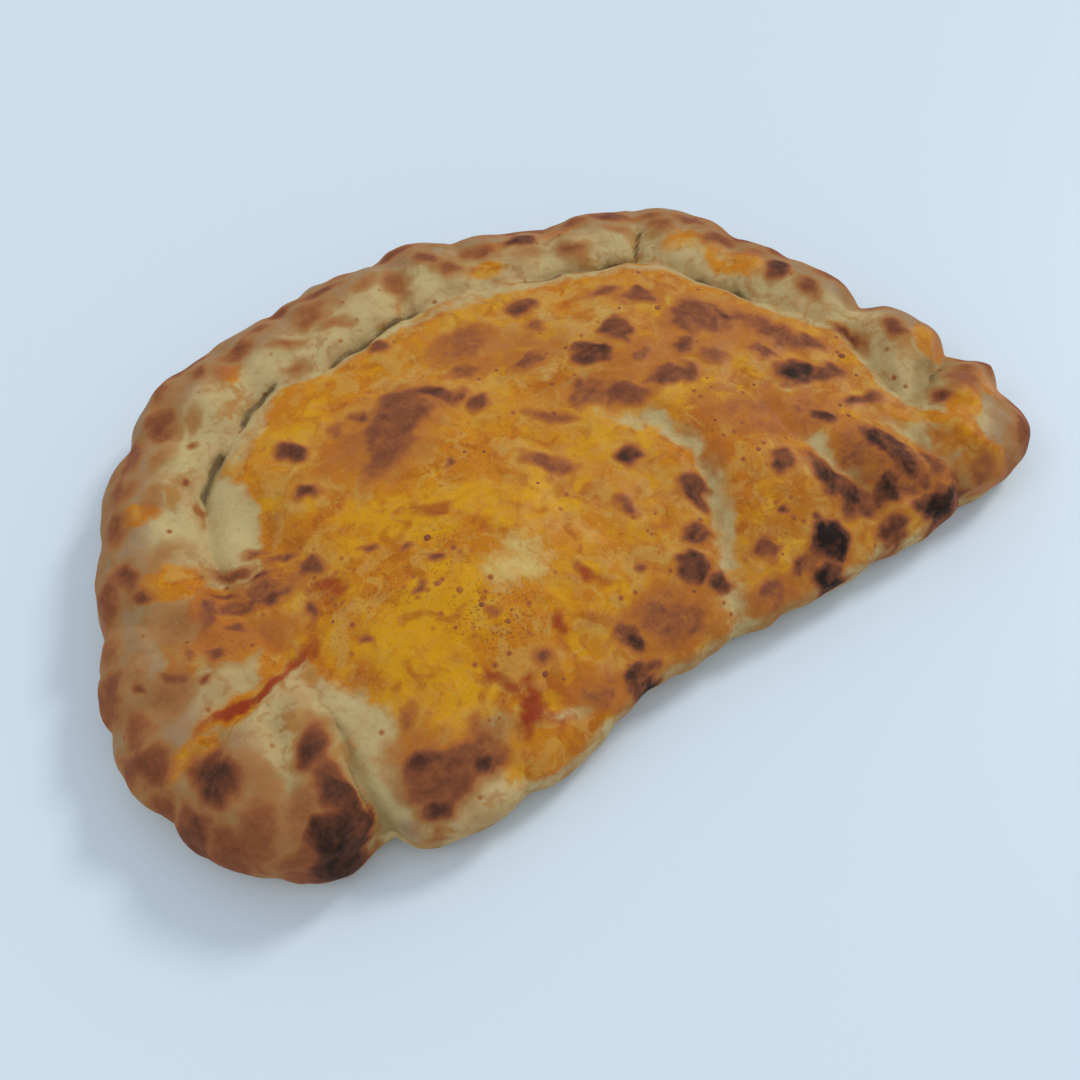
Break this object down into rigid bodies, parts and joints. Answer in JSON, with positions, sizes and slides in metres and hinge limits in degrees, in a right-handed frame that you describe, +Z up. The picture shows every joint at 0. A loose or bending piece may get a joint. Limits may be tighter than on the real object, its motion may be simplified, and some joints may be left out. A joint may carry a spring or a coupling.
{
  "type": "baked calzone",
  "caption": "Half-moon calzone: a folded, filled dough turnover with a rolled and pleated edge, knobbed ends and a puffed, sauce-brushed lid.",
  "frame": {"origin": "centre of the bounding box's underside, on the surface the calzone lies on", "axes": "+X along the straight fold, towards the end with the three small knobs; +Y from the fold towards the rolled edge; +Z up"},
  "size_m": [0.298, 0.195, 0.0397],
  "materials": {
    "baked_dough": "baked dough with an oily tomato and cheese glaze, browned blisters and charred spots"
  },
  "bodies": {
    "root": {"calzone": "baked_dough"}
  },
  "joints": []
}
